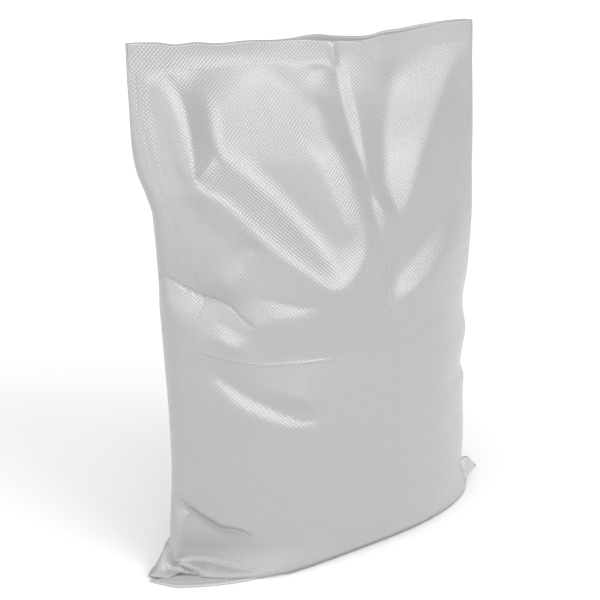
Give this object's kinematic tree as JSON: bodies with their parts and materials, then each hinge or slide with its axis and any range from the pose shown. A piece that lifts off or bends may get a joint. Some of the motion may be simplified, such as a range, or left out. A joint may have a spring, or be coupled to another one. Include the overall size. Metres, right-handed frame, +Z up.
{
  "type": "filled woven sack",
  "caption": "Open-mouth sack of laminated woven polypropylene, standing with goods in its lower half, a slack creased neck, a stitched mouth hem and a folded, sewn bottom seam.",
  "frame": {"origin": "on the floor, under the middle of the sack's flat base", "axes": "+Z up, +X along the mouth and the bottom seam towards the sack's right side, -Y towards the front panel"},
  "size_m": [0.5241, 0.2016, 0.681],
  "materials": {
    "woven_fabric": "white laminated woven polypropylene, satin gloss",
    "hem_fabric": "turned hem layer of the same woven polypropylene",
    "seam_fabric": "folded bottom edge of the same woven polypropylene",
    "needle_thread": "white polyester sewing thread",
    "looper_thread": "white polyester sewing thread",
    "goods": "loose dry granular goods, matte"
  },
  "bodies": {
    "root": {"sack_tube": "woven_fabric", "mouth_hem_turn": "hem_fabric", "mouth_needle_thread": "needle_thread", "mouth_looper_thread": "looper_thread", "bottom_seam_fold": "seam_fabric", "bottom_needle_thread": "needle_thread", "bottom_looper_thread": "looper_thread", "bulk_fill": "goods"}
  },
  "joints": []
}
